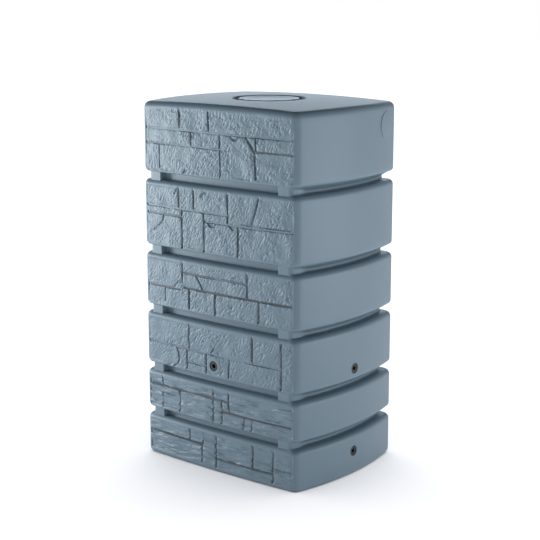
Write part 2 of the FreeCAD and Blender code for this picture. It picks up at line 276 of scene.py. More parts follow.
def inward(inset, core):
    """The outline moved in by a distance at each column, bending towards the core's places on the way."""
    reach = depth_of(core)
    sideways = core - FACE + OUT * reach[:, None]
    share = np.clip(inset / reach, 0.0, 1.0) ** 2
    return FACE - OUT * np.broadcast_to(inset, (COLUMNS,))[:, None] + sideways * share[:, None]


# ---------------------------------------------------------------- the stone relief
# Each band's joints in millimetres on the front: "level" is height, from, to; "upright" is place, bottom,
# top; "crack" is a run of (across, height) points. The last number is how strongly a joint is cut.
JOINTS = [
    # top band
    ("level", 1115, -318, 318, 1.0),
    ("level", 1066, -318, 24, 0.9),
    ("level", 1070, 166, 318, 0.9),
    ("upright", -151, 1116, 1184, 1.2),
    ("upright", -25, 1116, 1180, 1.1),
    ("upright", -101, 1067, 1115, 1.1),
    ("upright", 21, 1067, 1114, 1.1),
    ("upright", 23, 974, 1066, 0.6),
    ("upright", -245, 988, 1066, 0.7),
    ("upright", 166, 1068, 1112, 0.8),
    ("crack", [(125, 1113), (138, 1099), (150, 1083), (161, 1066), (163, 1030), (167, 987)], 1.1),
    ("crack", [(66, 1111), (76, 1102), (90, 1101), (98, 1109)], 0.9),
    ("crack", [(-137, 974), (-129, 988)], 0.6),
    # second band
    ("level", 860, -318, 52, 1.0),
    ("level", 834, -304, -146, 0.8),
    ("level", 831, -48, 318, 1.0),
    ("level", 838, 110, 300, 0.4),
    ("upright", -159, 862, 930, 1.1),
    ("upright", -93, 862, 926, 1.1),
    ("upright", 52, 832, 934, 1.2),
    ("upright", -146, 834, 860, 0.9),
    ("upright", -145, 728, 832, 1.0),
    ("upright", -48, 727, 862, 1.0),
    ("upright", 94, 734, 828, 1.0),
    ("crack", [(178, 930), (171, 904), (160, 871), (146, 836)], 1.0),
    ("crack", [(-178, 908), (-166, 924)], 0.8),
    ("crack", [(-29, 828), (-20, 818), (-4, 819)], 0.8),
    ("crack", [(59, 829), (76, 818)], 0.8),
    ("crack", [(-229, 830), (-234, 811), (-249, 796), (-276, 778)], 0.8),
    ("crack", [(-58, 910), (-44, 926)], 0.7),
    # third band
    ("level", 650, -142, 131, 1.0),
    ("level", 591, -318, -156, 0.9),
    ("level", 601, -138, 318, 1.0),
    ("upright", -147, 618, 694, 1.0),
    ("upright", -117, 533, 601, 1.0),
    ("upright", -3, 523, 602, 1.1),
    ("upright", 130, 604, 692, 1.0),
    ("upright", 176, 530, 600, 1.0),
    ("upright", -228, 544, 591, 0.4),
    ("crack", [(-148, 621), (-165, 617), (-179, 605), (-190, 592)], 0.8),
    ("crack", [(-87, 648), (-75, 635), (-66, 622), (-57, 606)], 0.8),
    # fourth band
    ("level", 395, -318, 262, 1.0),
    ("level", 352, -130, -44, 0.9),
    ("upright", -120, 398, 488, 1.0),
    ("upright", -130, 326, 394, 0.8),
    ("upright", -43, 332, 395, 1.0),
    ("upright", 54, 331, 394, 1.0),
    ("upright", 150, 396, 482, 1.1),
    ("upright", 264, 329, 488, 0.9),
    ("crack", [(-178, 394), (-168, 376), (-166, 355), (-172, 338), (-190, 326)], 0.7),
    ("crack", [(-247, 321), (-208, 327)], 0.5),
    ("crack", [(-21, 402), (-8, 419)], 0.6),
    # fifth band
    ("level", 247, -318, 51, 1.0),
    ("level", 225, -304, -166, 0.8),
    ("level", 210, 20, 318, 1.0),
    ("upright", -246, 248, 288, 0.7),
    ("upright", -247, 172, 222, 0.5),
    ("upright", -166, 173, 247, 1.0),
    ("upright", -15, 166, 284, 1.1),
    ("upright", 22, 172, 246, 1.0),
    ("upright", 52, 211, 286, 0.9),
    ("upright", 114, 168, 210, 1.0),
    ("upright", 147, 168, 210, 0.8),
    # lowest band
    ("level", 81, -318, -68, 1.0),
    ("level", 99, -60, -3, 0.8),
    ("level", 43, 0, 232, 1.0),
    ("level", 62, 236, 318, 0.8),
    ("upright", -121, 82, 128, 0.9),
    ("upright", -60, 82, 128, 0.7),
    ("upright", -66, 18, 80, 0.8),
    ("upright", -4, 14, 124, 1.0),
    ("upright", 151, 44, 122, 1.0),
    ("upright", 231, 13, 120, 1.0),
]
JOINT_RISE = 1.2 * MM        # the whole pattern lies this much higher than its list says
JOINT_TILT = -0.003          # and its courses fall a little towards the right
JOINT_HALF_WIDTH = 3.3 * MM
JOINT_CUT = 8.5 * MM
STONE_EDGE = 9 * MM          # over which a stone rounds off towards its joints
STONE_EDGE_DROP = 0.9 * MM
STRONGEST_CUT = 1.15         # no joint is cut more than this many times JOINT_CUT
JOINT_STEEPNESS = 1.8        # how steeply a joint's sides fall to its flat bottom
RELIEF_END = 312 * MM        # the relief runs a little way round the corners
RELIEF_END_FADE = 5 * MM
RELIEF_BASE = -3.2 * MM      # the stones' mean level behind the face
RELIEF_CEILING = 0.5 * MM    # how softly the highest stones flatten off just behind the face
SLATE_TOP = LEDGES[1]        # bands below this height have the layered slate grain
SLATE_GAIN = 1.35            # how much stronger the slate is than its layers add up to
SLATE_DROP = 1.0 * MM
ROCK_GAIN = 1.15
ROCK_DROP = 0.3 * MM
PORT_FLAT_RADIUS = 27 * MM   # the smooth pad in the relief round the front port
PORT_FLAT_DROP = 0.4 * MM
PORT_FLAT_FADE = 5 * MM
PORT_RING_OUT = 3 * MM       # a shallow ring round the pad: how far out, how wide and how deep
PORT_RING_WIDTH = 2.2 * MM
PORT_RING_DEPTH = 1.6 * MM
PORT_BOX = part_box("insert_front_mid")
PORT_MIDDLE = (PORT_BOX[0].z + PORT_BOX[1].z) / 2
PORT_ACROSS = (PORT_BOX[0].x + PORT_BOX[1].x) / 2


def joint_lines():
    """Every joint as a run of points, in metres, with its strength."""
    runs = []
    for joint in JOINTS:
        if joint[0] == "level":
            _, height, left, right, strength = joint
            points = [(left, height), (right, height)]
        elif joint[0] == "upright":
            _, place, bottom, top, strength = joint
            points = [(place, bottom), (place, top)]
        else:
            _, points, strength = joint
        places = [(x * MM, z * MM + JOINT_RISE + x * MM * JOINT_TILT) for x, z in points]
        runs.append((places, strength))
    return runs


def segment_distance(x, z, start, end):
    """The distance from points to a segment."""
    dx, dz = end[0] - start[0], end[1] - start[1]
    t = np.clip(((x - start[0]) * dx + (z - start[1]) * dz) / (dx * dx + dz * dz), 0, 1)
    return np.hypot(x - start[0] - t * dx, z - start[1] - t * dz)


def joint_cut(x, z):
    """How strongly each point is cut by a joint, from 0 to STRONGEST_CUT, and how far the nearest one is."""
    wander_x = x + 1.1 * MM * noise(x / 0.030, z / 0.030, 11) + 0.6 * MM * noise(x / 0.009, z / 0.009, 12)
    wander_z = z + 1.1 * MM * noise(x / 0.034, z / 0.034, 13) + 0.6 * MM * noise(x / 0.009, z / 0.009, 14)
    width = 1.0 + 0.45 * noise(x / 0.045, z / 0.045, 15)
    cut = np.zeros_like(x)
    nearest = np.full_like(x, 1.0)
    for points, strength in joint_lines():
        for start, end in zip(points[:-1], points[1:]):
            distance = segment_distance(wander_x, wander_z, start, end)
            half = JOINT_HALF_WIDTH * width * (0.65 + 0.35 * strength)
            profile = np.clip(JOINT_STEEPNESS * (1.0 - distance / half), 0.0, 1.0)
            cut = np.maximum(cut, profile * min(strength, STRONGEST_CUT))
            nearest = np.minimum(nearest, distance + (1.0 - min(strength, 1.0)) * STONE_EDGE)
    return cut, nearest


def joint_relief(x, z):
    """How far the joints and the stones' rounded edges drop below the stones, in metres (negative)."""
    cut, nearest = joint_cut(x, z)
    edge = np.exp(-np.maximum(nearest - JOINT_HALF_WIDTH, 0.0) / (STONE_EDGE / 3))
    return -JOINT_CUT * cut - STONE_EDGE_DROP * edge


def ridges(x, y, seed):
    """Noise folded so that its middle level makes sharp crests, about -0.5 to 1."""
    return 1.0 - 2.2 * np.abs(noise(x, y, seed))


# Both kinds of stone add up layers of noise: each has its waves' size in metres and, in the sum, its height
# in millimetres.


def split_rock(x, z):
    """Split rock, hammered in slanting strokes, smoother towards the left."""
    lean = math.radians(57)
    along = x * math.cos(lean) + z * math.sin(lean) + 6 * MM * noise(x / 0.05, z / 0.05, 21)
    across = -x * math.sin(lean) + z * math.cos(lean) + 7 * MM * noise(x / 0.06, z / 0.05, 22)
    strokes = ridges(along / 0.024, across / 0.0085, 23)
    chips = ridges(along / 0.011, across / 0.0055, 24)
    faces = noise(x / 0.045, z / 0.040, 25)
    swell = noise(x / 0.13, z / 0.11, 26)
    rough = np.clip(0.7 + 1.0 * noise(x / 0.06, z / 0.06, 27), 0.2, 1.3)
    rough = rough * (0.45 + 0.55 * smooth_step(-0.26, -0.10, x))
    grain = noise(x / 0.0048, z / 0.0048, 28)
    height = (2.5 * strokes + 1.7 * chips) * rough + 1.7 * faces + 1.0 * swell + 0.6 * grain
    return height * MM


def slate(x, z):
    """Layered slate: long thin ledges that run nearly level."""
    warp = 4 * MM * noise(x / 0.10, z / 0.05, 31) + 1.5 * MM * noise(x / 0.025, z / 0.02, 32)
    layers = noise(x / 0.085, (z + warp) / 0.0085, 33)
    ledges = np.tanh(4.5 * noise(x / 0.13, (z + warp) / 0.019, 34))
    threads = ridges(x / 0.05, (z + warp) / 0.0055, 35)
    swell = noise(x / 0.12, z / 0.08, 36)
    grain = noise(x / 0.006, z / 0.0045, 37)
    return (3.4 * layers + 1.8 * ledges + 1.6 * threads + 1.0 * swell + 0.7 * grain) * MM


def relief(x, z):
    """Height of the stone relief, in metres. It is never above the barrel's front face, so never positive.
    x counts along the face and round the corner from the middle."""
    layered = SLATE_GAIN * slate(x, z) - SLATE_DROP
    split = ROCK_GAIN * split_rock(x, z) - ROCK_DROP
    height = np.where(z < SLATE_TOP, layered, split) + joint_relief(x, z) + RELIEF_BASE
    from_port = np.hypot(x - PORT_ACROSS, z - PORT_MIDDLE)
    on_pad = 1.0 - smooth_step(PORT_FLAT_RADIUS, PORT_FLAT_RADIUS + PORT_FLAT_FADE, from_port)
    ring = np.exp(-((from_port - PORT_FLAT_RADIUS - PORT_RING_OUT) / PORT_RING_WIDTH) ** 2)
    height = height * (1 - on_pad) - PORT_FLAT_DROP * on_pad - PORT_RING_DEPTH * ring
    height = -RELIEF_CEILING * np.logaddexp(0.0, -height / RELIEF_CEILING)
    return height * (1.0 - smooth_step(RELIEF_END - RELIEF_END_FADE, RELIEF_END, np.abs(x)))


# ---------------------------------------------------------------- the tank's mesh
# The tank is a tube of rows that runs from the middle of the base up the outside, over the neck and down the
# inside back to the middle. Each row has one point for every column.
Z_STEP = 2.0 * MM
COARSE_EVERY = 5             # the coarse columns share every fifth row of the faces
RELIEF_FADE_START = 3 * MM   # the relief fades out from this far past a face's ends
RELIEF_FADE_LENGTH = 9 * MM

CORNER_LENGTH = np.sum(np.hypot(*np.diff(FACE[PART_OF == 1], axis=0).T))
ROUND_CORNER = np.select([PART_OF == 1, PART_OF == 7], [ALONG, 1 - ALONG], 0.0) * CORNER_LENGTH
ACROSS = FACE[:, 0].copy()   # each column's place along the front, counted on round the corners
FACE_END = np.max(np.abs(FACE[PART_OF == 0, 0]))
ACROSS[PART_OF == 1] = FACE_END + ROUND_CORNER[PART_OF == 1]
ACROSS[PART_OF == 7] = -FACE_END - ROUND_CORNER[PART_OF == 7]


class Rows:
    """The rows so far, and which of them the coarse columns share."""

    def __init__(self):
        self.points = []
        self.shared = []

    def add(self, plan_points, z, shared=True):
        z = np.broadcast_to(z, (COLUMNS,))
        self.points.append(np.column_stack([plan_points, z]))
        self.shared.append(shared)


GROOVE_FOOT_RADIUS = 4 * MM  # where a ledge meets the back wall
POST_CLIMB = 0.8 * MM        # keeps the rows of a ledge apart on the posts, which have no ledge
SIDE_SHARE = smooth_step(0.1, 0.6, np.abs(OUT[:, 0]))   # 0 on the front and back, 1 along the sides
LOWER_RADII = LOWER_RADIUS + (SIDE_LOWER_RADIUS - LOWER_RADIUS) * SIDE_SHARE
ROOF_DROP = SIDE_ROOF_DROP * np.abs(OUT[:, 0]) ** 2


def add_groove(rows, ledge, roof, wall, core):
    """The rows of one groove, from the lip of the band below it to the lower edge of the band above it."""
    reach = depth_of(core)
    lip, lower = LIP_RADIUS, LOWER_RADII
    turn_end = np.full(COLUMNS, math.pi / 2)
    if wall == 0:
        turn_end = np.arccos(np.clip(1 - reach / lip, 0, 1))
    for i in range(1, 7):
        turn = turn_end * i / 6
        inset = lip - (lip - wall) * np.cos(turn)
        height = ledge - lip + (lip - wall) * np.sin(turn)
        rows.add(inward(inset, core), height)

    # the ledge and its foot; on the posts, which have no ledge, these rows just climb
    foot = np.clip(reach - lip, 0.0, GROOVE_FOOT_RADIUS)
    climb = POST_CLIMB * (1.0 - foot / GROOVE_FOOT_RADIUS)
    flat_end = np.maximum(reach - foot, inset)
    rows.add(inward((inset + flat_end) / 2, core), height + climb)
    rows.add(inward(flat_end, core), height + 2 * climb)
    bend = foot + wall
    for i in (1, 2, 3):
        turn = math.pi / 2 * i / 3
        risen = height + bend * (1 - math.cos(turn)) + (2 + i) * climb
        rows.add(inward(flat_end + bend * math.sin(turn), core), risen)
    back = flat_end + bend
    bottom = height + bend + 5 * climb

    # up the back wall, out along the sloping roof and round the band's lower edge
    slope = ROOF_DROP / (depth_of(CHANNEL) - lower)
    run = back - wall - lower
    top = roof + wall - slope * run
    for share in (0.4, 0.8):
        rows.add(inward(back, core), bottom * (1 - share) + top * share)
    rows.add(inward(back - 0.03 * run, core), top - 0.3 * MM)
    for share in (0.1, 0.55, 1.0):
        rows.add(inward(back - share * run, core), top + slope * share * run)
    edge = lower - wall
    for i in (1, 2, 3):
        turn = math.pi / 2 * i / 4
        rows.add(inward(lower - edge * math.sin(turn), core), roof + lower - edge * math.cos(turn))


def add_face(rows, low, high, wall):
    """The upright face of a band between two lines, with the stone relief on the front of the outside."""
    low, high = (np.broadcast_to(line, (COLUMNS,)) for line in (low, high))
    count = COARSE_EVERY * max(1, round(float(np.mean(high - low)) / Z_STEP / COARSE_EVERY))
    steps = np.arange(0, count + 1, 1 if wall == 0 else COARSE_EVERY)
    heights = low + (high - low) * (steps / count)[:, None]
    insets = np.full(heights.shape, wall)
    if wall == 0:
        from_end = np.minimum(heights - low, high - heights)
        fade = np.clip((from_end + RELIEF_FADE_START) / RELIEF_FADE_LENGTH, 0.0, 1.0)
        x = np.broadcast_to(ACROSS, heights.shape)
        insets[:, FINE] = -relief(x[:, FINE], heights[:, FINE]) * fade[:, FINE]
    for step, inset, z in zip(steps, insets, heights):
        rows.add(FACE - OUT * inset[:, None], z, shared=step % COARSE_EVERY == 0)


def dome(points, below=0.0):
    """The height of the domed top over points in the plan, or of the hollow's own dome below it."""
    radius = TOP_DOME_RADIUS - below
    return HEIGHT - TOP_DOME_RADIUS + np.sqrt(radius * radius - np.sum(np.square(points), -1))


def to_circle(radius):
    """The columns spread round a circle, each towards its own place on the outline."""
    angle = np.arctan2(FACE[:, 1] * WIDTH / DEPTH, FACE[:, 0])
    return radius * np.stack([np.cos(angle), np.sin(angle)], 1)


def rounded(corner, start, end, radius, steps=4):
    """A profile's corner replaced by an arc between its two legs."""
    corner, start, end = (np.array(p, float) for p in (corner, start, end))
    a = (start - corner) / np.hypot(*(start - corner))
    b = (end - corner) / np.hypot(*(end - corner))
    half = math.acos(np.clip(np.dot(a, b), -1, 1)) / 2
    cut = radius / math.tan(half)
    middle = corner + (a + b) / np.hypot(*(a + b)) * radius / math.sin(half)
    p, q = corner + a * cut - middle, corner + b * cut - middle
    points = []
    for i in range(steps + 1):
        t = i / steps
        v = p * (1 - t) + q * t
        points.append(tuple(middle + v / np.hypot(*v) * radius))
    return points


def rounded_profile(points):
    """A profile of (radius, height, corner radius) points, with its corners rounded."""
    result = [points[0][:2]]
    for before, here, after in zip(points[:-2], points[1:-1], points[2:]):
        if here[2] > 0:
            result += rounded(here[:2], before[:2], after[:2], here[2])
        else:
            result.append(here[:2])
    return result + [points[-1][:2]]


def neck_profile():
    """Radius and height from the barrel's top into the dish, over the neck and back out below the dish."""
    floor = HEIGHT - DISH_DEPTH
    far, near = DISH_RADIUS + 16 * MM, DISH_RADIUS
    bead = 1.1 * MM
    bead_low = floor + 7 * MM
    under_radius = DISH_RADIUS - DISH_SLOPE + WALL
    return rounded_profile([
        (far, float(dome((far, 0))), 0),
        (near, float(dome((near, 0))), 6 * MM),
        (DISH_RADIUS - DISH_SLOPE, floor, 4 * MM),
        (NECK_RADIUS, floor, 2 * MM),
        (NECK_RADIUS, bead_low, 0),
        (NECK_RADIUS + bead, bead_low + 1 * MM, 0),
        (NECK_RADIUS + bead, bead_low + 3 * MM, 0),
        (NECK_RADIUS, bead_low + 4 * MM, 0),
        (NECK_RADIUS, NECK_TOP, 1 * MM),
        (NECK_BORE_RADIUS, NECK_TOP, 1 * MM),
        (NECK_BORE_RADIUS, floor - WALL, 2 * MM),
        (under_radius, floor - WALL, 5 * MM),
        (near + WALL, float(dome((near, 0), WALL)), 3 * MM),
        (far, float(dome((far, 0), WALL)), 0),
    ])


TURNS = [math.pi / 2 * i / 6 for i in range(7)]


def add_outside(rows):
    """Up the outside: the base from its middle out, the bands and the grooves between them."""
    ring, _ = outline(FOOT_RING_WIDTH, FOOT_RING_WIDTH, FOOT_RING_WIDTH, CORNER_RADIUS)
    for share in (0.15, 0.6, 0.97):
        rows.add(ring * share, FOOT_RECESS)
    rows.add(ring * 0.995, FOOT_RECESS - 1.5 * MM)
    rows.add(ring, 1.5 * MM)
    rows.add(ring * 1.004, 0.0)
    radius = BASE_EDGE_RADIUS
    for turn in TURNS[:-1]:
        rows.add(FACE - OUT * radius * (1 - math.sin(turn)), radius * (1 - math.cos(turn)))
    add_bands(rows, 0.0, CORE)


def add_bands(rows, wall, core):
    """The faces of the bands and the grooves between them, from the base's edge up to the top's."""
    lows = [BASE_EDGE_RADIUS] + [roof + LOWER_RADII for roof in ROOFS]
    highs = [ledge - LIP_RADIUS for ledge in LEDGES] + [TOP_TURN]
    for i, (low, high) in enumerate(zip(lows, highs)):
        add_face(rows, low, high, wall)
        if i < len(LEDGES):
            add_groove(rows, LEDGES[i], ROOFS[i], wall, core)


TOP_EDGE = FACE - OUT * TOP_EDGE_RADIUS
TOP_TURN = dome(TOP_EDGE) - TOP_EDGE_RADIUS


def add_top(rows):
    """Over the top's edge, across the dome, into the dish, over the neck and out again below the dish."""
    radius = TOP_EDGE_RADIUS
    for turn in TURNS[1:]:
        rows.add(FACE - OUT * radius * (1 - math.cos(turn)), TOP_TURN + radius * math.sin(turn))
    profile = neck_profile()
    first = to_circle(profile[0][0])
    for share in (0.08, 0.2, 0.35, 0.5, 0.65, 0.8, 0.92):
        points = TOP_EDGE * (1 - share) + first * share
        rows.add(points, dome(points))
    for radius, z in profile:
        rows.add(to_circle(radius), z)
    last = to_circle(profile[-1][0])
    for share in (0.8, 0.5, 0.2):
        points = TOP_EDGE * (1 - share) + last * share
        rows.add(points, dome(points, WALL))


def add_inside(rows):
    """Down the inside, from the top's edge back to the middle of the base."""
    inner = TOP_EDGE_RADIUS - WALL
    for turn in reversed(TURNS[1:]):
        rows.add(FACE - OUT * (TOP_EDGE_RADIUS - inner * math.cos(turn)), TOP_TURN + inner * math.sin(turn))
    inside = Rows()
    add_bands(inside, WALL, CHANNEL)
    rows.points += reversed(inside.points)
    rows.shared += reversed(inside.shared)
    inner = BASE_EDGE_RADIUS - WALL
    for turn in reversed(TURNS[:-1]):
        inset = BASE_EDGE_RADIUS - inner * math.sin(turn)
        rows.add(FACE - OUT * inset, BASE_EDGE_RADIUS - inner * math.cos(turn))
    ring, _ = outline(*[FOOT_RING_WIDTH - WALL] * 3, CORNER_RADIUS)
    rows.add(ring, WALL)
    rows.add(ring * 0.995, FOOT_RECESS + WALL)
    for share in (0.6, 0.15):
        rows.add(ring * share, FOOT_RECESS + WALL)


def tank_faces(shared):
    """The faces of the tube: small ones under the fine columns, tall ones elsewhere, and strips between."""
    def at(row, column):
        return row * COLUMNS + column % COLUMNS

    stops = [row for row, keep in enumerate(shared) if keep]
    faces = [tuple(at(0, c) for c in reversed(range(COLUMNS)))]
    for column in range(COLUMNS):
        here, there = FINE[column], FINE[(column + 1) % COLUMNS]
        for low, high in zip(stops[:-1], stops[1:]):
            between = range(low, high + 1)
            if here and there:
                for row in between[:-1]:
                    below = (at(row, column), at(row, column + 1))
                    above = (at(row + 1, column + 1), at(row + 1, column))
                    faces.append(below + above)
                continue
            left = between if here else (low, high)
            right = between if there else (low, high)
            ring = [at(row, column + 1) for row in right] + [at(row, column) for row in reversed(left)]
            faces.append(tuple(ring))
    faces.append(tuple(at(len(shared) - 1, c) for c in range(COLUMNS)))
    return faces


def drop_loose(mesh):
    """Deletes the points that no face uses."""
    used = np.zeros(len(mesh.vertices), bool)
    corners = np.zeros(len(mesh.loops), np.int64)
    mesh.loops.foreach_get("vertex_index", corners)
    used[corners] = True
    work = bmesh.new()
    work.from_mesh(mesh)
    work.verts.ensure_lookup_table()
    bmesh.ops.delete(work, geom=[work.verts[i] for i in np.flatnonzero(~used)], context="VERTS")
    bmesh.ops.recalc_face_normals(work, faces=work.faces)
    work.to_mesh(mesh)
    work.free()


# ---------------------------------------------------------------- ports, as tools that cut and fill the tank


def port_place(port):
    """A port's centre on the wall, and the direction out of it, from its insert's box."""
    low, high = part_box("insert_" + port)
    middle = (low + high) / 2
    if port.startswith("front"):
        return Vector((middle.x, -DEPTH / 2, middle.z)), Vector((0, -1, 0))
    side = 1 if port.startswith("right") else -1
    return Vector((side * WIDTH / 2, 0, middle.z)), Vector((side, 0, 0))


def port_turn(port):
    """The transform that turns a piece built along +Z, with z = 0 on the wall, to face out of a port."""
    place, out = port_place(port)
    turn = Vector((0, 0, 1)).rotation_difference(out)
    return Matrix.Translation(place) @ turn.to_matrix().to_4x4()


def port_tool(profiles):
    """One mesh of a revolved solid at every port, to cut or fill the tank with."""
    vertices, faces = [], []
    for port, profile in zip(PORTS, profiles):
        own_vertices, own_faces = revolved(profile)
        start = len(vertices)
        place = port_turn(port)
        vertices += [tuple(place @ Vector(v)) for v in own_vertices]
        faces += [tuple(start + i for i in face) for face in own_faces]
    return make_object("port_tool", vertices, faces)


def boolean(piece, tool, operation):
    change = piece.modifiers.new(operation, "BOOLEAN")
    change.operation = operation
    change.solver = "MANIFOLD"
    change.object = tool
    bpy.context.view_layer.objects.active = piece
    bpy.ops.object.modifier_apply(modifier=change.name)
    bpy.data.objects.remove(tool)


BOSS_RADIUS = 28 * MM
BOSS_DEPTH = 30 * MM
BOSS_COVER = 2.5 * MM        # the boss is added this far behind the face, inside the wall
MOUTH_STEP = 0.8 * MM        # how much wider than the insert its socket is at the face
MOUTH_DEPTH = 0.6 * MM
FACE_SINK = 1 * MM
INSERT_FACE_RADIUS = 17 * MM
INSERT_BODY_RADIUS = 20 * MM
INSERT_COLLAR_END = 9 * MM
INSERT_END = 25 * MM
PORT_BORE_RADIUS = 13.6 * MM
FIT = 0.1 * MM
PAST = 5 * MM                # how far a cutting tool runs past what it cuts
PAD_PROUD = 1 * MM
PAD_ROOT = 3 * MM            # how far a pad reaches into the wall behind it
PAD_EDGE_RADIUS = 0.8 * MM


def boss_profile():
    return [(0, -BOSS_DEPTH), (BOSS_RADIUS, -BOSS_DEPTH), (BOSS_RADIUS, -BOSS_COVER), (0, -BOSS_COVER)]


def socket_profile(port):
    """The space for a port's insert and the bore behind it."""
    sink = 0.0 if port.startswith("front") else FACE_SINK
    mouth = INSERT_FACE_RADIUS + MOUTH_STEP
    return [
        (0, -BOSS_DEPTH - PAST),
        (PORT_BORE_RADIUS, -BOSS_DEPTH - PAST),
        (PORT_BORE_RADIUS, -INSERT_END),
        (INSERT_BODY_RADIUS + FIT, -INSERT_END),
        (INSERT_BODY_RADIUS + FIT, -INSERT_COLLAR_END),
        (INSERT_FACE_RADIUS + FIT, -INSERT_COLLAR_END),
        (INSERT_FACE_RADIUS + FIT, -sink - MOUTH_DEPTH),
        (mouth, -sink),
        (mouth, PAST),
        (0, PAST),
    ]


def diverter_pads():
    """The round flats near the top of both sides, on the walls' own slant there."""
    profile = rounded_profile([
        (0, -PAD_ROOT, 0),
        (PAD_RADIUS, -PAD_ROOT, 0),
        (PAD_RADIUS, PAD_PROUD, PAD_EDGE_RADIUS),
        (0, PAD_PROUD, 0),
    ])
    angle = math.asin(PAD_BACK_OFFSET / SIDE_BULGE_RADIUS)
    own_vertices, own_faces = revolved(profile, steps=128)
    vertices, faces = [], []
    for side in (1, -1):
        out = Vector((side * math.cos(angle), math.sin(angle), 0))
        centre = Vector((side * (WIDTH / 2 - SIDE_BULGE_RADIUS), 0, PAD_HEIGHT))
        turn = Vector((0, 0, 1)).rotation_difference(out).to_matrix().to_4x4()
        place = Matrix.Translation(centre + out * SIDE_BULGE_RADIUS) @ turn
        start = len(vertices)
        vertices += [tuple(place @ Vector(v)) for v in own_vertices]
        faces += [tuple(start + i for i in face) for face in own_faces]
    return make_object("pads", vertices, faces)


PAINTED_SHADE_MIN_DEPTH = 2 * MM          # points nearer the face than this never get the joints' painted shade


def paint_joint_shade(piece):
    """Stores how strongly a joint cuts the relief at each point, from 0 to 1, as painted shade that darkens
    the plastic's colour in the joints.
    """
    mesh = piece.data
    places = np.empty(len(mesh.vertices) * 3)
    mesh.vertices.foreach_get("co", places)
    x, y, z = places.reshape(-1, 3).T
    bulge = FRONT_BULGE_RADIUS - np.sqrt(FRONT_BULGE_RADIUS ** 2 - x * x)
    depth = y + DEPTH / 2 - bulge
    on_face = (np.abs(x) < FACE_END) & (depth < JOINT_CUT * 2)
    on_face &= np.hypot(x - PORT_ACROSS, z - PORT_MIDDLE) > PORT_FLAT_RADIUS
    for ledge, roof in zip(LEDGES, ROOFS):
        on_face &= (z < ledge - LIP_RADIUS) | (z > roof + LOWER_RADIUS)
    on_face &= (z > BASE_EDGE_RADIUS) & (z < HEIGHT - TOP_EDGE_RADIUS * 1.5)
    cut, _ = joint_cut(x, z)
    share = np.where(on_face & (depth > PAINTED_SHADE_MIN_DEPTH), np.clip(cut, 0.0, 1.0), 0.0)
    layer = mesh.attributes.new("joint_painted_shade", "FLOAT", "POINT")
    layer.data.foreach_set("value", share.astype(np.float32))


def build_tank():
    rows = Rows()
    add_outside(rows)
    add_top(rows)
    add_inside(rows)
    tank = make_object("tank_moulding", np.concatenate(rows.points), tank_faces(rows.shared))
    drop_loose(tank.data)
    boolean(tank, port_tool([boss_profile()] * len(PORTS)), "UNION")
    boolean(tank, port_tool([socket_profile(port) for port in PORTS]), "DIFFERENCE")
    boolean(tank, diverter_pads(), "UNION")
    # the joints' painted shade, stored on the mesh for the plastic's colour
    paint_joint_shade(tank)
    shade(tank, 42.0)
    return tank


# ---------------------------------------------------------------- lid
LID_RADIUS = 101 * MM
LID_SKIRT_RADIUS = 94 * MM
LID_TOP = HEIGHT - 1 * MM
LID_SKIRT_LOW = HEIGHT - DISH_DEPTH + 3 * MM
LID_SEAT = NECK_TOP + 2.5 * MM
LID_MIDDLE = LID_SEAT + 3.5 * MM
GRIP_COUNT = 10
GRIP_CUT = 4 * MM
GRIP_RADIUS = 16 * MM
LID_STEPS = 240


def grip_inset(angle):
    """How far the lid's edge is scalloped in at an angle round it."""
    pitch = 2 * math.pi / GRIP_COUNT
    off = np.remainder(angle + pitch / 2, pitch) - pitch / 2
    middle = LID_RADIUS - GRIP_CUT + GRIP_RADIUS
    across = middle * np.sin(off)
    inside = GRIP_RADIUS ** 2 - across ** 2
    edge = middle * np.cos(off) - np.sqrt(np.maximum(inside, 0.0))
    return np.where(inside > 0, np.maximum(LID_RADIUS - edge, 0.0), 0.0)


def build_lid():
    """The lid: a softly dished middle, a rounded rim and a scalloped skirt, open below."""
    profile = rounded_profile([
        (0, LID_MIDDLE, 0),
        (52 * MM, LID_MIDDLE, 20 * MM),
        (80 * MM, LID_TOP - 1.6 * MM, 8 * MM),
        (92 * MM, LID_TOP, 6 * MM),
        (LID_RADIUS, LID_TOP - 0.6 * MM, 3.5 * MM),
        (LID_RADIUS, LID_SKIRT_LOW, 1.2 * MM),
        (LID_SKIRT_RADIUS, LID_SKIRT_LOW, 1.2 * MM),
        (LID_SKIRT_RADIUS, LID_SEAT, 1.5 * MM),
        (0, LID_SEAT, 0),
    ])
    angles = np.arange(LID_STEPS) * 2 * math.pi / LID_STEPS
    inset = grip_inset(angles)
    vertices, faces = [], []
    rings = profile[1:-1]
    for radius, z in rings:
        share = smooth_step(LID_SKIRT_RADIUS + 1.5 * MM, LID_RADIUS, radius)
        own = radius - inset * share
        vertices += [(r * math.cos(a), r * math.sin(a), z) for r, a in zip(own, angles)]
    for j in range(len(rings) - 1):
        for i in range(LID_STEPS):
            k = (i + 1) % LID_STEPS
            low, high = j * LID_STEPS, (j + 1) * LID_STEPS
            faces.append((low + k, low + i, high + i, high + k))
    faces.append(tuple(range(LID_STEPS)))
    last = (len(rings) - 1) * LID_STEPS
    faces.append(tuple(last + i for i in reversed(range(LID_STEPS))))
    lid = make_object("lid_cap", vertices, faces)
    shade(lid, 35.0)
    return lid


# ---------------------------------------------------------------- materials


def node(tree, kind, **inputs):
    made = tree.nodes.new(kind)
    for name, value in inputs.items():
        made.inputs[name.replace("_", " ")].default_value = value
    return made


JOINT_PAINTED_SHADE = 0.15        # painted shade: the plastic's colour at the bottom of the relief's joints, against its own
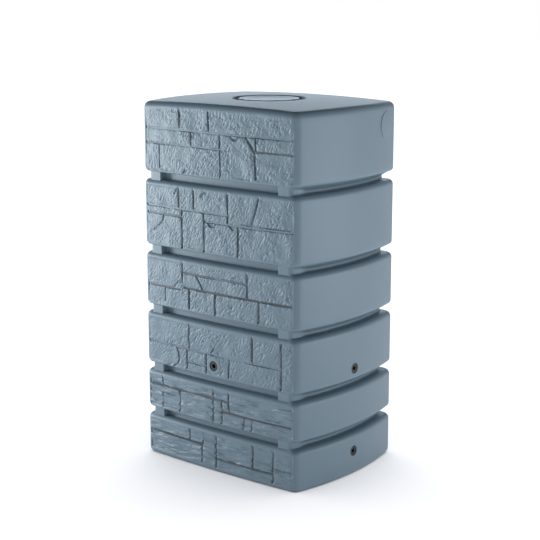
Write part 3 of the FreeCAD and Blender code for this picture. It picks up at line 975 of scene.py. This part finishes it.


def plastic(name, colour, roughness, mottle, grain, grain_size):
    """Moulded plastic: a little mottled in colour and gloss, finely grained, and with painted shade in the
    joints.
    """
    material = bpy.data.materials.new(name)
    material.use_nodes = True
    tree = material.node_tree
    shader = tree.nodes["Principled BSDF"]
    place = tree.nodes.new("ShaderNodeTexCoord")
    broad = node(tree, "ShaderNodeTexNoise", Scale=9.0, Detail=4.0, Roughness=0.6)
    fine = node(tree, "ShaderNodeTexNoise", Scale=1.0 / grain_size, Detail=3.0, Roughness=0.55)
    for texture in (broad, fine):
        tree.links.new(place.outputs["Object"], texture.inputs["Vector"])
    tint = tree.nodes.new("ShaderNodeMix")
    tint.data_type = "RGBA"
    tint.inputs["A"].default_value = (*[c * (1 - mottle) for c in colour], 1)
    tint.inputs["B"].default_value = (*[c * (1 + mottle) for c in colour], 1)
    tree.links.new(broad.outputs["Fac"], tint.inputs["Factor"])
    # painted shade: the colour darkens where the mesh marks a joint, as shade falls in it
    joint = tree.nodes.new("ShaderNodeAttribute")
    joint.attribute_name = "joint_painted_shade"
    dark = tree.nodes.new("ShaderNodeMix")
    dark.data_type = "RGBA"
    dark.inputs["B"].default_value = (*[c * JOINT_PAINTED_SHADE for c in colour], 1)
    tree.links.new(joint.outputs["Fac"], dark.inputs["Factor"])
    tree.links.new(tint.outputs["Result"], dark.inputs["A"])
    tree.links.new(dark.outputs["Result"], shader.inputs["Base Color"])
    gloss = node(tree, "ShaderNodeMapRange", From_Min=0.3, From_Max=0.7)
    gloss.inputs["To Min"].default_value = roughness - 0.04
    gloss.inputs["To Max"].default_value = roughness + 0.05
    tree.links.new(fine.outputs["Fac"], gloss.inputs["Value"])
    tree.links.new(gloss.outputs["Result"], shader.inputs["Roughness"])
    bump = node(tree, "ShaderNodeBump", Strength=grain, Distance=0.0006)
    tree.links.new(fine.outputs["Fac"], bump.inputs["Height"])
    tree.links.new(bump.outputs["Normal"], shader.inputs["Normal"])
    shader.inputs["IOR"].default_value = 1.5
    return material


def assign(piece, material):
    piece.data.materials.clear()
    piece.data.materials.append(material)


# ---------------------------------------------------------------- camera, floor and lights
CAMERA_AZIMUTH = math.radians(39.334)
CAMERA_PITCH = math.radians(12.080)
CAMERA_AT = Vector((2.8282, -3.4463, 1.5899))
LENS = 90.76


def make_camera():
    data = bpy.data.cameras.new("camera")
    data.lens = LENS
    data.sensor_width = 36.0
    camera = bpy.data.objects.new("camera", data)
    camera.location = CAMERA_AT
    camera.rotation_euler = (math.pi / 2 - CAMERA_PITCH, 0, CAMERA_AZIMUTH)
    bpy.context.scene.collection.objects.link(camera)
    bpy.context.scene.camera = camera


FLOOR_REACH = 30.0
FLOOR_COLOUR = (0.86, 0.86, 0.88)
FLOOR_GLOW = 0.05


def make_floor():
    reach = FLOOR_REACH
    vertices = [(-reach, -reach, 0), (reach, -reach, 0), (reach, reach, 0), (-reach, reach, 0)]
    floor = make_object("floor", vertices, [(0, 1, 2, 3)])
    material = bpy.data.materials.new("pale_floor")
    material.use_nodes = True
    shader = material.node_tree.nodes["Principled BSDF"]
    shader.inputs["Base Color"].default_value = (*FLOOR_COLOUR, 1)
    shader.inputs["Roughness"].default_value = 0.85
    shader.inputs["Emission Color"].default_value = (1, 1, 1, 1)
    shader.inputs["Emission Strength"].default_value = FLOOR_GLOW
    assign(floor, material)
    return floor


WORLD_STRENGTH = 0.68
SKY_TINT = (0.93, 0.975, 1.0)
SKY_LEVELS = ((0.22, 1.0), (0.45, 0.3))   # sine of the height above the horizon, and brightness there
SKY_TOP_FROM = 0.75
SKY_TOP = (0.08, 0.09, 0.10)


def make_world():
    """A light tent: a white horizon all round and dark overhead. The camera sees it as plain white."""
    world = bpy.data.worlds.new("studio")
    bpy.context.scene.world = world
    world.use_nodes = True
    tree = world.node_tree
    background = tree.nodes["Background"]
    place = tree.nodes.new("ShaderNodeTexCoord")
    split = tree.nodes.new("ShaderNodeSeparateXYZ")
    tree.links.new(place.outputs["Generated"], split.inputs["Vector"])
    ramp = tree.nodes.new("ShaderNodeValToRGB")
    ramp.color_ramp.elements[0].position = 0.0
    ramp.color_ramp.elements[0].color = (*SKY_TINT, 1)
    ramp.color_ramp.elements[1].position = SKY_TOP_FROM
    ramp.color_ramp.elements[1].color = (*SKY_TOP, 1)
    for position, level in SKY_LEVELS:
        stop = ramp.color_ramp.elements.new(position)
        stop.color = (*[level * c for c in SKY_TINT], 1)
    tree.links.new(split.outputs["Z"], ramp.inputs["Fac"])
    tree.links.new(ramp.outputs["Color"], background.inputs["Color"])
    background.inputs["Strength"].default_value = WORLD_STRENGTH
    plain = tree.nodes.new("ShaderNodeBackground")
    plain.inputs["Color"].default_value = (1, 1, 1, 1)
    rays = tree.nodes.new("ShaderNodeLightPath")
    choose = tree.nodes.new("ShaderNodeMixShader")
    tree.links.new(rays.outputs["Is Camera Ray"], choose.inputs["Fac"])
    tree.links.new(background.outputs["Background"], choose.inputs[1])
    tree.links.new(plain.outputs["Background"], choose.inputs[2])
    tree.links.new(choose.outputs["Shader"], tree.nodes["World Output"].inputs["Surface"])


COOL_WHITE = (0.93, 0.985, 1.0)
PALE_BLUE = (0.70, 0.86, 1.0)
# The boxes' names, places, what they point at, widths and heights, powers and colours.
LIGHT_BOXES = [
    ("left_box", (-2.35, -1.3, 0.8), (0.0, -0.2, 0.6), (0.9, 1.5), 58, COOL_WHITE),
    ("right_box", (2.6, 1.2, 0.5), (0.3, 0.1, 0.5), (1.6, 1.3), 25, COOL_WHITE),
    ("back_box", (-2.0, 2.5, 1.95), (0.0, 0.0, 1.2), (3.2, 1.4), 36, PALE_BLUE),
]
FLOOR_SKY_AT = (-0.8, 1.0, 4)     # a little behind, so that the barrel's soft shadow falls forwards
FLOOR_SKY_STRENGTH = 4.0
FLOOR_SKY_ANGLE = math.radians(120)


def add_light(name, kind, at, towards, power, colour=(1, 1, 1)):
    data = bpy.data.lights.new(name, kind)
    data.energy = power
    data.color = colour
    light = bpy.data.objects.new(name, data)
    light.location = at
    light.rotation_euler = (Vector(towards) - Vector(at)).to_track_quat("-Z", "Y").to_euler()
    light.visible_camera = False
    bpy.context.scene.collection.objects.link(light)
    return light


def make_lights(floor):
    """A box on the left that rakes along the front, one on the right for the side and one behind for the
    top's sheen, which don't light the floor, and an even soft light from above that lights only the floor."""
    not_floor = bpy.data.collections.new("not_on_the_floor")
    not_floor.objects.link(floor)
    not_floor.collection_objects[0].light_linking.link_state = "EXCLUDE"
    for name, at, towards, size, power, colour in LIGHT_BOXES:
        box = add_light(name, "AREA", at, towards, power, colour)
        box.data.shape = "RECTANGLE"
        box.data.size, box.data.size_y = size
        box.light_linking.receiver_collection = not_floor
    sky = add_light("floor_sky", "SUN", FLOOR_SKY_AT, (0, 0, 0), FLOOR_SKY_STRENGTH)
    sky.data.angle = FLOOR_SKY_ANGLE
    only_floor = bpy.data.collections.new("lit_by_floor_sky")
    only_floor.objects.link(floor)
    sky.light_linking.receiver_collection = only_floor


# ---------------------------------------------------------------- put it together


def main():
    bpy.context.scene.view_settings.view_transform = "Standard"
    blue_grey = (0.129, 0.190, 0.240)
    black = (0.006, 0.007, 0.009)
    rubber_black = (0.02, 0.02, 0.021)
    coarse, fine = 1.6 * MM, 0.8 * MM
    tank_plastic = plastic("tank_plastic", blue_grey, 0.46, mottle=0.05, grain=0.25, grain_size=coarse)
    lid_plastic = plastic("lid_plastic", blue_grey, 0.42, mottle=0.04, grain=0.2, grain_size=coarse)
    black_plastic = plastic("black_plastic", black, 0.5, mottle=0.1, grain=0.2, grain_size=fine)
    rubber = plastic("rubber", rubber_black, 0.7, mottle=0.15, grain=0.3, grain_size=fine)

    tank = build_tank()
    assign(tank, tank_plastic)
    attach(tank, "tank")
    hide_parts("tank_shell")

    lid = build_lid()
    assign(lid, lid_plastic)
    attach(lid, "lid")
    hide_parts("lid")

    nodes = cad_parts
    assign(nodes["lid_seal"], rubber)
    for port in PORTS:
        assign(nodes["insert_" + port], black_plastic)
        assign(nodes["plug_" + port], black_plastic)
        assign(nodes["gasket_" + port], rubber)

    make_camera()
    floor = make_floor()
    make_world()
    make_lights(floor)


main()
